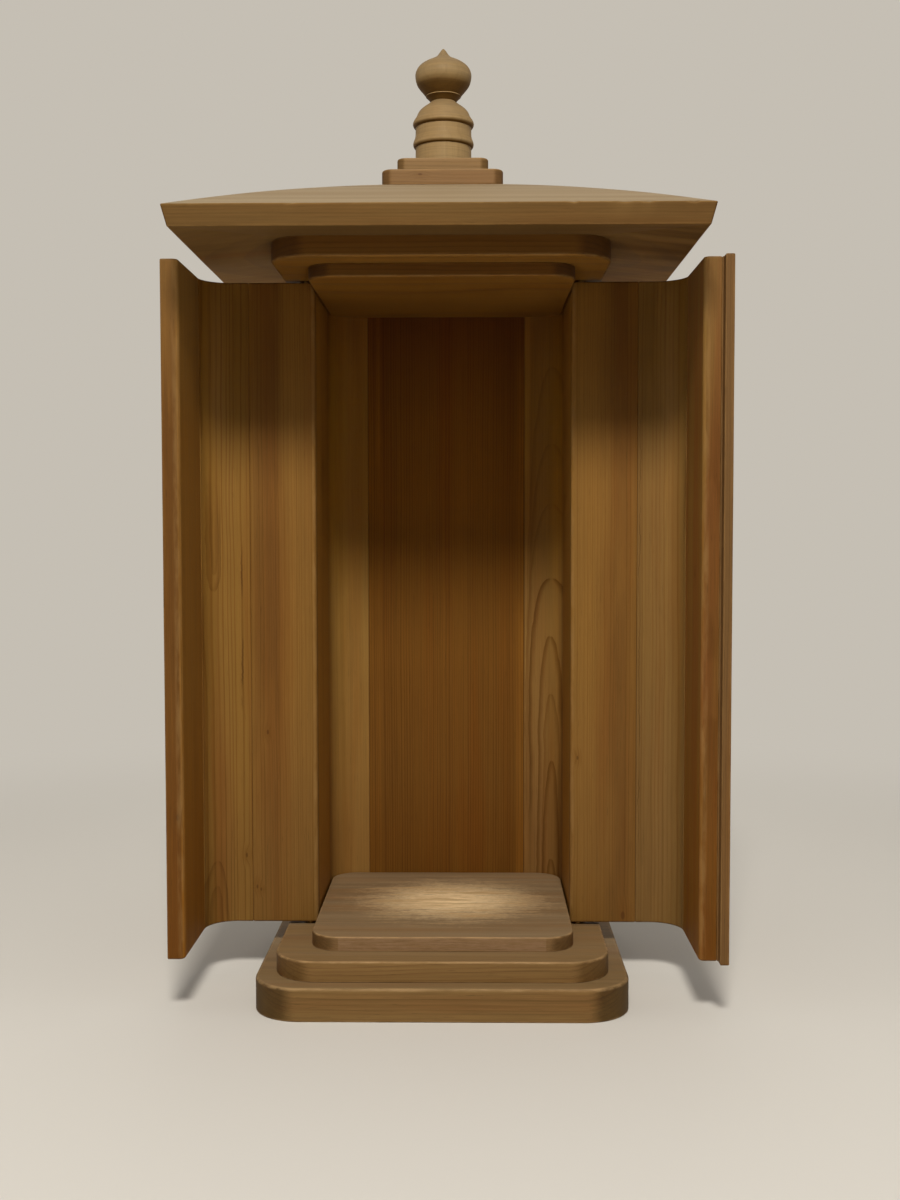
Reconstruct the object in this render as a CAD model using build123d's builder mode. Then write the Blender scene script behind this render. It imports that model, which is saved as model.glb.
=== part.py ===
from build123d import *
import os

os.makedirs("parts", exist_ok=True)

# A wooden shrine cabinet with a low hipped roof, a turned finial and two doors that wrap round
# its front corners. Millimetres. X = 0, Y = 0 is the middle of the plan, the front looks to -Y
# and the underside of the plinth is Z = 0. The doors are drawn shut and carried to where they
# stand open.

# Cabinet body, in plan a rounded square tube
inside_width = 143.0
wall_thick = 9.0
inside_corner = 16.5
wall_height = 361.1
shell_front = 9.0
side_board_end = 51.0
back_board_half = 48.4
corner_ease = 0.8

# Boards under and over the body
floor_board_thick = 7.7
ceiling_board_thick = 7.1
board_clear = 1.1
step_thick = 11.0
step_overhang = 7.8
step_corner = 23.0
plinth_thick = 17.5
plinth_overhang = 9.9
plinth_corner = 25.0
plinth_ease = 1.7
moulding_thick = 10.8
board_ease = 1.0

# Roof
roof_width = 264.0
fascia_height = 10.2
fascia_lean = 2.6
soffit_rise = 4.4
roof_rise = 32.3
roof_swell = 1.6
lower_plate_size = 66.0
lower_plate_thick = 8.5
lower_plate_corner = 6.0
upper_plate_size = 50.0
upper_plate_thick = 8.0
upper_plate_corner = 5.0
plate_ease = 1.6

# Turned finial; heights of the stem count from its seat, those of the jewel from the neck
stem_radius = 15.35
ring_radius = 16.8
ring_under = 2.4
ring_crest = 1.3
ring_fall = 3.9
lower_ring_base = 10.8
upper_ring_base = 21.6
bell_radius = 14.2
bell_height = 31.1
bell_foot_radius = 9.7
bell_foot_height = 35.0
neck_radius = 7.2
neck_height = 37.2
bead_radius = 9.8
bead_foot_radius = 8.9
bead_base = 2.3
bead_thick = 1.0
bead_groove = 0.4
belly_radius = 13.4
belly_height = 6.6
waist_radius = 15.1
waist_height = 10.0
jewel_radius = 15.65
jewel_widest = 13.4
shoulder_height = 15.0
shoulder_swell = 1.75
crown_radius = 10.2
crown_height = 22.1
nib_radius = 4.6
nib_base = 24.6
nib_swell = 0.7
tip_radius = 0.9
jewel_height = 29.4
tenon_radius = 4.0
tenon_length = 6.0
tenon_clear = 0.1

# Doors, with pins that turn in the boards below and above them
door_gap_below = 1.5
door_gap_above = 1.1
hinge_gap = 1.1
hinge_setback = 4.9
hinge_round = 4.2
open_angle = 90.0
meeting_gap = 0.8
door_corner_flat = 8.0
edge_round = 1.6
pin_radius = 2.0
pin_in_door = 12.0
pin_in_board = 6.0
pin_clear = 0.08
pin_end_clear = 0.5
strip_thick = 5.2
strip_lap = 7.0
strip_seat = 9.0
strip_clear = 0.5
strip_ease = 0.9

# Sizes that follow from the ones above
inside_half = inside_width / 2
outside_width = inside_width + 2 * wall_thick
outside_half = outside_width / 2
outside_corner = inside_corner + wall_thick
floor_board_size = inside_width - 2 * board_clear
floor_board_corner = inside_corner - board_clear
step_size = outside_width + 2 * step_overhang
plinth_size = step_size + 2 * plinth_overhang
step_top = plinth_thick + step_thick
wall_top = step_top + wall_height
moulding_top = wall_top + moulding_thick
eave_bottom = moulding_top - soffit_rise
eave_top = eave_bottom + fascia_height
roof_half = roof_width / 2
ridge_half = lower_plate_size / 2
roof_top = eave_top + roof_rise
lower_plate_top = roof_top + lower_plate_thick
upper_plate_top = lower_plate_top + upper_plate_thick
neck_z = upper_plate_top + neck_height
door_bottom = step_top + door_gap_below
door_top = wall_top - door_gap_above
door_height = door_top - door_bottom
door_edge_y = -shell_front - hinge_gap
pin_x = inside_half + wall_thick / 2
pin_y = door_edge_y - hinge_setback
corner_start = inside_half - inside_corner
door_side_end = corner_start - door_corner_flat


def ease(board, end, size):
    """Plane off the arris round a board's lower (0) or upper (-1) face."""
    chamfer(board.faces().sort_by(Axis.Z)[end].edges(), length=size)


def rounded_ring():
    """Plan of the body's wall, a rounded square tube, inside an open sketch."""
    RectangleRounded(outside_width, outside_width, outside_corner)
    RectangleRounded(inside_width, inside_width, inside_corner, mode=Mode.SUBTRACT)


def keep_window(x_low, x_high, y_low, y_high):
    """Keep what an open sketch holds between two X and two Y values."""
    with Locations(((x_low + x_high) / 2, (y_low + y_high) / 2)):
        Rectangle(abs(x_high - x_low), abs(y_high - y_low), mode=Mode.INTERSECT)


def door_plan(side, height):
    """Plane in which a shut door is drawn; it lies turned about the door's pin."""
    pin = Vector(side * pin_x, pin_y, 0)
    swing = Location(pin) * Rotation(0, 0, side * open_angle) * Location(-pin)
    return Plane(swing * Location((0, 0, height)))


def between(start, end, swell):
    """Middle point of an outline's arc, off its chord by the swell, outward where that is positive."""
    chord = Vector(*end) - Vector(*start)
    outward = Vector(chord.Y, -chord.X).normalized()
    return Vector(*start) + chord / 2 + outward * swell


def ring_top(base):
    """Height at which a ring of the stem ends, from its base above the stem's seat."""
    return upper_plate_top + base + ring_under + ring_crest + ring_fall


def ring_outline(base):
    """Outline of one turned ring, quick below its crest and slow above it."""
    crest = upper_plate_top + base + ring_under
    return (
        (stem_radius, upper_plate_top + base),
        (ring_radius, crest),
        (ring_radius, crest + ring_crest),
        (stem_radius, ring_top(base)),
    )


def finish(builder, name):
    """Label a finished piece and write it out."""
    builder.part.label = name
    export_step(builder.part, f"parts/{name}.step")


# Plinth
with BuildPart() as plinth_board:
    with BuildSketch():
        RectangleRounded(plinth_size, plinth_size, plinth_corner)
    extrude(amount=plinth_thick)
    ease(plinth_board, -1, plinth_ease)
finish(plinth_board, "plinth_board")

# Step board, with blind holes for the doors' lower pins
with BuildPart() as step_board:
    with BuildSketch(Plane.XY.offset(plinth_thick)):
        RectangleRounded(step_size, step_size, step_corner)
    extrude(amount=step_thick)
    ease(step_board, -1, board_ease)
    with Locations((-pin_x, pin_y, step_top), (pin_x, pin_y, step_top)):
        Hole(pin_radius + pin_clear, depth=pin_in_board + pin_end_clear)
finish(step_board, "step_board")

# Floor board, let in between the walls
with BuildPart() as floor_board:
    with BuildSketch(Plane.XY.offset(step_top)):
        RectangleRounded(floor_board_size, floor_board_size, floor_board_corner)
    extrude(amount=floor_board_thick)
    ease(floor_board, -1, corner_ease)
finish(floor_board, "floor_board")

# Ceiling board, let in between the walls
with BuildPart() as ceiling_board:
    with BuildSketch(Plane.XY.offset(wall_top - ceiling_board_thick)):
        RectangleRounded(floor_board_size, floor_board_size, floor_board_corner)
    extrude(amount=ceiling_board_thick)
    ease(ceiling_board, 0, corner_ease)
finish(ceiling_board, "ceiling_board")

# Moulding board under the roof, with blind holes for the doors' upper pins
with BuildPart() as moulding_board:
    with BuildSketch(Plane.XY.offset(wall_top)):
        RectangleRounded(step_size, step_size, step_corner)
    extrude(amount=moulding_thick)
    ease(moulding_board, 0, board_ease)
    with BuildSketch(Plane.XY.offset(wall_top)):
        with Locations((-pin_x, pin_y), (pin_x, pin_y)):
            Circle(pin_radius + pin_clear)
    extrude(amount=pin_in_board + pin_end_clear, mode=Mode.SUBTRACT)
finish(moulding_board, "moulding_board")

# Back wall, one board wide between the two rounded back corners
with BuildPart() as back_wall:
    with BuildSketch(Plane.XY.offset(step_top)):
        rounded_ring()
        keep_window(-back_board_half, back_board_half, 0, outside_half)
    extrude(amount=wall_height)
finish(back_wall, "back_wall")

for side, hand in ((-1, "left"), (1, "right")):
    # Back corner, coved from the solid
    with BuildPart() as back_corner:
        with BuildSketch(Plane.XY.offset(step_top)):
            rounded_ring()
            keep_window(side * back_board_half, side * outside_half, side_board_end, outside_half)
        extrude(amount=wall_height)
    finish(back_corner, f"back_corner_{hand}")

    # Side wall, from the back corner to the hinge line
    with BuildPart() as side_wall:
        with BuildSketch(Plane.XY.offset(step_top)) as plan:
            rounded_ring()
            keep_window(0, side * outside_half, -shell_front, side_board_end)
            front_corners = plan.vertices().group_by(Axis.Y)[0]
            fillet(front_corners, radius=corner_ease)
        extrude(amount=wall_height)
    finish(side_wall, f"side_wall_{hand}")

    # Door side board, hung on its pins; the hinge edge is rounded so that it can turn
    with BuildPart() as door_side:
        with BuildSketch(door_plan(side, door_bottom)) as plan:
            rounded_ring()
            keep_window(0, side * outside_half, -door_side_end, door_edge_y)
            hinge_arrises = plan.vertices().group_by(Axis.Y)[-1]
            fillet(hinge_arrises, radius=min(hinge_round, 0.48 * wall_thick))
        extrude(amount=door_height)
        for end in (door_bottom, door_top - pin_in_door):
            with BuildSketch(door_plan(side, end)):
                with Locations((side * pin_x, pin_y)):
                    Circle(pin_radius + pin_clear)
            extrude(amount=pin_in_door, mode=Mode.SUBTRACT)
    finish(door_side, f"{hand}_door_side")

    # Door corner, coved from the solid with a flat that carries on the side board
    with BuildPart() as door_corner:
        with BuildSketch(door_plan(side, door_bottom)):
            rounded_ring()
            keep_window(side * corner_start, side * outside_half, -outside_half, -door_side_end)
        extrude(amount=door_height)
    finish(door_corner, f"{hand}_door_corner")

    # Door front board, up to the meeting edge
    with BuildPart() as door_front:
        with BuildSketch(door_plan(side, door_bottom)) as plan:
            rounded_ring()
            keep_window(side * meeting_gap / 2, side * corner_start, -outside_half, 0)
            inner_arris = plan.vertices().sort_by_distance((side * meeting_gap / 2, -inside_half))[0]
            fillet(inner_arris, radius=edge_round)
        extrude(amount=door_height)
    finish(door_front, f"{hand}_door_front")

    # Hinge pins, one in each end of the door's side board
    with BuildPart() as hinge_pins:
        for end in (door_bottom - door_gap_below - pin_in_board, door_top - pin_in_door):
            with BuildSketch(Plane.XY.offset(end)):
                with Locations((side * pin_x, pin_y)):
                    Circle(pin_radius)
            reach = door_gap_below if end < door_bottom else door_gap_above
            extrude(amount=pin_in_board + reach + pin_in_door)
    finish(hinge_pins, f"{hand}_hinge_pins")

# Meeting strip, fixed to the right door's outer face and lapping over the left door
with BuildPart() as meeting_strip:
    with BuildSketch(door_plan(1, door_bottom)) as plan:
        with BuildLine():
            Polyline(
                (meeting_gap / 2 + strip_seat, -outside_half),
                (meeting_gap / 2, -outside_half),
                (meeting_gap / 2, -outside_half - strip_clear),
                (-strip_lap, -outside_half - strip_clear),
                (-strip_lap, -outside_half - strip_thick),
                (meeting_gap / 2 + strip_seat, -outside_half - strip_thick),
                close=True,
            )
        make_face()
        fillet(plan.vertices().group_by(Axis.Y)[0], radius=strip_ease)
    extrude(amount=door_height)
finish(meeting_strip, "right_door_meeting_strip")

# Roof: two crossed gable forms with slightly swelling slopes leave a hipped roof, and a shallow
# dish under it lifts the soffit from the eaves to the moulding board
slope_middle = ((roof_half + ridge_half) / 2, (eave_top + roof_top) / 2 + roof_swell)
with BuildPart() as roof:
    for profile_plane, how in ((Plane.XZ, Mode.ADD), (Plane.YZ, Mode.INTERSECT)):
        with BuildSketch(profile_plane):
            with BuildLine():
                Line((0, eave_bottom), (roof_half - fascia_lean, eave_bottom))
                Line((roof_half - fascia_lean, eave_bottom), (roof_half, eave_top))
                ThreePointArc((roof_half, eave_top), slope_middle, (ridge_half, roof_top))
                Line((ridge_half, roof_top), (0, roof_top))
                Line((0, roof_top), (0, eave_bottom))
            make_face()
            mirror(about=Plane.YZ)
        extrude(amount=roof_half, both=True, mode=how)
    with BuildSketch(Plane.XY.offset(eave_bottom)):
        Rectangle(roof_width - 2 * fascia_lean, roof_width - 2 * fascia_lean)
    with BuildSketch(Plane.XY.offset(moulding_top)):
        Rectangle(step_size, step_size)
    loft(mode=Mode.SUBTRACT)
finish(roof, "roof")

# Two plates that carry the finial
with BuildPart() as lower_plate:
    with BuildSketch(Plane.XY.offset(roof_top)):
        RectangleRounded(lower_plate_size, lower_plate_size, lower_plate_corner)
    extrude(amount=lower_plate_thick)
    ease(lower_plate, -1, plate_ease)
finish(lower_plate, "roof_plate_lower")

with BuildPart() as upper_plate:
    with BuildSketch(Plane.XY.offset(lower_plate_top)):
        RectangleRounded(upper_plate_size, upper_plate_size, upper_plate_corner)
    extrude(amount=upper_plate_thick)
    ease(upper_plate, -1, plate_ease)
    with Locations((0, 0, upper_plate_top)):
        Hole(tenon_radius + tenon_clear, depth=tenon_length + tenon_clear)
finish(upper_plate, "roof_plate_upper")

# Finial, turned from one block: a tenon, a stem with two rings, a bell that narrows to the neck,
# a beaded foot and an onion form that runs out to a point
with BuildPart() as finial:
    with BuildSketch(Plane.XZ):
        with BuildLine():
            bead_top = neck_z + bead_base + bead_thick
            shoulder = (jewel_radius, neck_z + shoulder_height)
            crown = (crown_radius, neck_z + crown_height)
            nib = (nib_radius, neck_z + nib_base)
            tip = (tip_radius, neck_z + jewel_height - tip_radius)
            Polyline(
                (0, neck_z + jewel_height),
                (0, upper_plate_top - tenon_length),
                (tenon_radius, upper_plate_top - tenon_length),
                (tenon_radius, upper_plate_top),
                (stem_radius, upper_plate_top),
                *ring_outline(lower_ring_base),
                *ring_outline(upper_ring_base),
                (bell_radius, upper_plate_top + bell_height),
                (bell_foot_radius, upper_plate_top + bell_foot_height),
                (neck_radius, neck_z),
                (bead_foot_radius, neck_z + bead_base - bead_groove),
                (bead_radius, neck_z + bead_base),
                (bead_radius, bead_top),
                (bead_radius - bead_groove, bead_top + bead_groove),
                (belly_radius, neck_z + belly_height),
                (waist_radius, neck_z + waist_height),
                (jewel_radius, neck_z + jewel_widest),
                shoulder,
            )
            ThreePointArc(shoulder, between(shoulder, crown, shoulder_swell), crown)
            Line(crown, nib)
            ThreePointArc(nib, between(nib, tip, -nib_swell), tip)
            Line(tip, (0, neck_z + jewel_height))
        make_face()
    revolve(axis=Axis.Z)
finish(finial, "finial")
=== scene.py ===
import math

import bpy
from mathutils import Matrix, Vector, noise


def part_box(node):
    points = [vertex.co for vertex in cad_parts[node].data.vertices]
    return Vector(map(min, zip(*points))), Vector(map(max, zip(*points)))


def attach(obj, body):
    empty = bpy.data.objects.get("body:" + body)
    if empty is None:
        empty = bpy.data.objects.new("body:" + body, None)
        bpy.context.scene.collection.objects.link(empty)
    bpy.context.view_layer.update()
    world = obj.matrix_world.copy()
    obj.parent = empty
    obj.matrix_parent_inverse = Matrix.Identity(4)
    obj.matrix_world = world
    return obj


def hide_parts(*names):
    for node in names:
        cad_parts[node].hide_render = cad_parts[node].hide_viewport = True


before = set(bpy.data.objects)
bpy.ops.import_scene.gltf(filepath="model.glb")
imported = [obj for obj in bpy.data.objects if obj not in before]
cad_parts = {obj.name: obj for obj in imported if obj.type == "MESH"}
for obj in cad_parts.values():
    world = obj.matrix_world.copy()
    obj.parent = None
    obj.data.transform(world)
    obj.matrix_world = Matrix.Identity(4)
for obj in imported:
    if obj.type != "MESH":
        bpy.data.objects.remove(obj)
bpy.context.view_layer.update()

mm = 0.001
cabinet = "cabinet"


def report(words):
    print("shrine cabinet:", words)


def boxMm(node):
    low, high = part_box(node)
    return low / mm, high / mm


# outlines and skins, all in millimetres until the mesh is made

glue = 0.35  # radius of the arrises that are glued flush
centreFlat = 0.5  # half width of the flat that closes a laid board or the roof in the middle

arrisPlan = {
    "guard": 0.5,  # plain strip that is kept on each side of an arris
    "step": 1.7,  # longest step round it
    "rubbedBelow": 4,  # a larger radius is a round corner, which doesn't wear
    "wearFrom": 0.15,  # where along its sweep the wear starts
    "leastRadius": 0.2,  # what is left of a radius when an outline moves inwards
}


def easedOutline(corners, closed=False, depth=0.0, plan=arrisPlan):
    # corners are (across, up, radius); the result is (across, up, wear), with wear 1 on a rubbed arris
    # and -1 in a glued joint; depth moves a closed outline inwards and keeps its number of points
    guard = plan["guard"]
    outline = []
    for i, (across, up, radius) in enumerate(corners):
        here = Vector((across, up))
        if not closed and i in (0, len(corners) - 1):
            outline.append((*here, 0.0))
            continue
        back = Vector(corners[i - 1][:2]) - here
        ahead = Vector(corners[(i + 1) % len(corners)][:2]) - here
        backSpan, aheadSpan = back.length, ahead.length
        back.normalize()
        ahead.normalize()
        bend = back.x * ahead.y - back.y * ahead.x  # negative at an outer corner
        inward = Vector((back.y, -back.x)) + Vector((-ahead.y, ahead.x))
        inward = inward / (1 + Vector((back.y, -back.x)).dot((-ahead.y, ahead.x)))
        moved = here + inward * depth
        if radius <= 0:
            outline.append((*moved, 0.0))
            continue
        halfAngle = back.angle(ahead) / 2
        sweep = math.pi - 2 * halfAngle
        steps = max(4, math.ceil(sweep * radius / plan["step"]))
        turned = radius + depth if bend > 0 else max(radius - depth, plan["leastRadius"] * radius)
        reach = turned / math.tan(halfAngle)
        start = moved + back * reach
        end = moved + ahead * reach
        centre = moved + (back + ahead).normalized() * turned / math.sin(halfAngle)
        span = radius / math.tan(halfAngle) + 2 * guard
        if backSpan > span:
            outline.append((*(start + back * guard), 0.0))
        for step in range(steps + 1):
            t = step / steps
            first = (start - centre) * math.sin((1 - t) * sweep)
            second = (end - centre) * math.sin(t * sweep)
            point = centre + (first + second) / math.sin(sweep)
            wornAndHighlight = math.sin(math.pi * (plan["wearFrom"] + (1 - 2 * plan["wearFrom"]) * t))
            wear = wornAndHighlight if radius < plan["rubbedBelow"] else 0.0
            outline.append((*point, -wear if radius == glue else wear))
        if aheadSpan > span:
            outline.append((*(end + ahead * guard), 0.0))
    return outline


def spanCounts(outline, longest, closed=False):
    # how many parts each span of an outline needs so that none is longer than that
    after = outline[1:] + outline[:1] if closed else outline[1:]
    return [max(1, math.ceil(math.dist(a[:2], b[:2]) / longest)) for a, b in zip(outline, after)]


def divided(outline, counts, closed=False):
    after = outline[1:] + outline[:1] if closed else outline[1:]
    result = [] if closed else [outline[0]]
    for start, end, count in zip(outline, after, counts):
        for step in range(1, count + 1):
            result.append(tuple(u + (v - u) * step / count for u, v in zip(start, end)))
    return result


def squareRing(half, corner, up, wear, perSide, perCorner):
    # one ring round a square board with round corners
    flat = half - corner
    ring = []
    for quarter in range(4):
        turn = math.radians(90 * quarter)
        points = []
        for step in range(perCorner + 1):
            angle = math.radians(90 * step / perCorner)
            points.append((flat + corner * math.cos(angle), flat + corner * math.sin(angle)))
        for step in range(1, perSide):
            points.append((flat - 2 * flat * step / perSide, half))
        for x, y in points:
            across = x * math.cos(turn) - y * math.sin(turn)
            along = x * math.sin(turn) + y * math.cos(turn)
            ring.append((across, along, up, wear))
    return ring


planing = {
    "seed": 11,  # the same unevenness on every run
    "span": 46.0,  # length of its waves
    "depth": 0.06,
    "chipLeast": 0.7,  # share of a chip's push that is sure
    "chipRagged": 0.6,
    "chipFineness": 1.3,
}
noise.seed_set(planing["seed"])


def handWork(point, amount):
    # slow unevenness of hand planed wood, the same for pieces that meet at a point
    place = Vector(point)
    return place + noise.noise_vector(place / planing["span"]) * amount


def chipped(place, chips):
    # small chips: centre, reach along x, y and z, and the push at the centre
    for centre, reach, push in chips:
        offset = place - Vector(centre)
        span = sum((o / r) ** 2 for o, r in zip(offset, reach))
        if span < 1:
            ragged = planing["chipRagged"] * noise.noise(place * planing["chipFineness"])
            place = place + Vector(push) * (1 - span) * (planing["chipLeast"] + ragged)
    return place


def putIn(name, data):
    thing = bpy.data.objects.new(name, data)
    bpy.context.scene.collection.objects.link(thing)
    return thing


def smoothSkin(name, points, faces):
    mesh = bpy.data.meshes.new(name)
    mesh.from_pydata(points, [], faces)
    mesh.polygons.foreach_set("use_smooth", [True] * len(mesh.polygons))
    return putIn(name, mesh)


def facesBetween(paintedLightByHeight, count):
    # the faces between closed rings of that many points
    faces = []
    for low in range(0, (paintedLightByHeight - 1) * count, count):
        for i in range(count):
            j = (i + 1) % count
            faces.append((low + i, low + j, low + count + j, low + count + i))
    return faces


def skinRings(name, rings, uneven=planing["depth"], chips=()):
    # closed rings of (x, y, z, wear) joined to a skin; the last value becomes the wear attribute
    count = len(rings[0])
    points = [chipped(handWork(p[:3], uneven), chips) * mm for ring in rings for p in ring]
    wears = [p[3] for ring in rings for p in ring]
    foot = tuple(reversed(range(count)))
    top = tuple(range((len(rings) - 1) * count, len(rings) * count))
    piece = smoothSkin(name, points, [foot, *facesBetween(len(rings), count), top])
    wear = piece.data.attributes.new("wear", "FLOAT", "POINT")
    wear.data.foreach_set("value", wears)
    piece.data.update()
    return piece


def dress(piece, body, slot, material, *nodes):
    # gives a piece its finish and its place in the frame
    if not piece.data.materials:
        piece.data.materials.append(material)
    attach(piece, body)
    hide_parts(*nodes)


# the wood: growth rings in three dimensions round a pith line, with fibres, knots and worn arrises


class Bench:
    # a short way to add nodes to one material, or to the world
    def __init__(self, owner):
        owner.use_nodes = True
        self.material = owner
        self.tree = owner.node_tree
        self.shader = self.tree.nodes.get("Principled BSDF")

    def feed(self, socket, value):
        if isinstance(value, bpy.types.NodeSocket):
            self.tree.links.new(value, socket)
        else:
            socket.default_value = (*value, 1.0) if socket.type == "RGBA" else value

    def add(self, kind, feeds=None, **settings):
        node = self.tree.nodes.new("ShaderNode" + kind)
        place = len(self.tree.nodes)
        node.location = (190 * (place % 16) - 2400, 900 - 240 * (place // 16))
        for key, value in settings.items():
            setattr(node, key, value)
        for key, value in (feeds or {}).items():
            self.feed(node.inputs[key], value)
        return node

    def calc(self, operation, *values):
        return self.add("Math", dict(enumerate(values)), operation=operation).outputs[0]

    def times(self, first, second):
        return self.calc("MULTIPLY", first, second)

    def plus(self, first, second):
        return self.calc("ADD", first, second)

    def minus(self, first, second):
        return self.calc("SUBTRACT", first, second)

    def vector(self, operation, *values):
        return self.add("VectorMath", dict(enumerate(values)), operation=operation).outputs[0]

    def scale(self, vector, factor):
        return self.add("VectorMath", {0: vector, "Scale": factor}, operation="SCALE").outputs[0]

    def length(self, vector):
        return self.add("VectorMath", {0: vector}, operation="LENGTH").outputs["Value"]

    def fade(self, value, low, high, toLow=0.0, toHigh=1.0):
        feeds = {"Value": value, "From Min": low, "From Max": high, "To Min": toLow, "To Max": toHigh}
        return self.add("MapRange", feeds, interpolation_type="SMOOTHSTEP").outputs["Result"]

    def mix(self, share, first, second, blend="MIX"):
        node = self.add("Mix", {0: share, 6: first, 7: second}, data_type="RGBA", blend_type=blend)
        return node.outputs[2]

    def centred(self, value, strength):
        return self.times(self.minus(value, 0.5), strength)

    def noise(self, vector, detail=2.0, roughness=0.55):
        feeds = {"Vector": vector, "Scale": 1.0, "Detail": detail, "Roughness": roughness}
        return self.add("TexNoise", feeds)

    def pattern(self, place, stretch, detail=2.0, roughness=0.55):
        place = self.vector("MULTIPLY", place, stretch)
        return self.noise(place, detail, roughness).outputs["Fac"]


# what a board's finish starts from; each board changes what is its own
cypress = {
    "early": (0.212, 0.105, 0.0205),  # spring wood
    "late": (0.125, 0.047, 0.0045),  # summer wood, the dark side of a ring
    "blush": (0.192, 0.082, 0.0140),  # slow reddish patches
    "blushFrom": 0.46,  # lower spreads them wider
    "wornAndHighlight": (0.29, 0.165, 0.055),  # rubbed arrises, paler partly from wear and partly a painted highlight
    "wornAndHighlightShare": 0.5,
    "endGrain": (0.60, 0.56, 0.46),  # what end grain is darkened by
    "knot": (0.060, 0.019, 0.003),
    "grain": "Z",  # the way that the fibres run
    "pith": (-640.0, 30.0),  # where the heart of the tree lies, across the grain
    "tilt": (0.0, 0.0),  # how far it leans to each side, per unit of length
    "ring": 1.5,  # ring width
    "lateShare": 0.62,  # strength of the rings
    "lateFrom": 0.45,  # where in a ring the summer wood starts
    "waver": 1.0,
    "streak": 0.10,  # strength of long light and dark streaks
    "fibre": 0.20,
    "blotch": 0.10,
    "veins": (),  # (place across, from, to, width) of dark resin lines along the grain
    "under": (1.0, 1.0, 1.0),  # painted light and shade on what looks down
    "paintedLightByHeight": (),  # (height, red, green, blue): painted light and shade, where a board's tone changes by height
    "comb": 0.0,  # strength of streaks a few millimetres wide
    "seam": 0.5,  # how dark the glued joints are
    "dustAndPaintedLight": (0.33, 0.27, 0.175),  # pale bloom on what looks up: dust, with a painted sheen
    "dustAndPaintedLightShare": 0.2,
    "dustAndPaintedLightFrom": 0.55,  # how far a face looks up where the bloom starts
    "bandsAndPaintedLight": (),  # (place across, tone) where a board has bands of its own, and on the right back corner painted light
    "bandAxis": 0,
    "knots": (),  # ((x, y, z), size)
    "roughness": 0.56,
    "gloss": 0.14,
    "relief": 0.35,
    "seed": 0,
    "extra": None,  # a function that draws what only this board has
}


def toneRamp(bench, tones, along):
    # tones, each one number or three, between the places that are given along one axis
    tones = sorted(tones)
    low, high = tones[0][0], tones[-1][0]
    ramp = bench.add("ValToRGB", {0: bench.calc("DIVIDE", bench.minus(along, low), high - low)})
    stops = ramp.color_ramp.elements
    for i, (spot, *tone) in enumerate(tones):
        position = (spot - low) / (high - low)
        stop = stops[i] if i < 2 else stops.new(position)
        stop.position = position
        shares = tone if len(tone) == 3 else tone * 3
        stop.color = (*(share / 2 for share in shares), 1.0)
    return bench.scale(ramp.outputs["Color"], 2.0)


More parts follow.
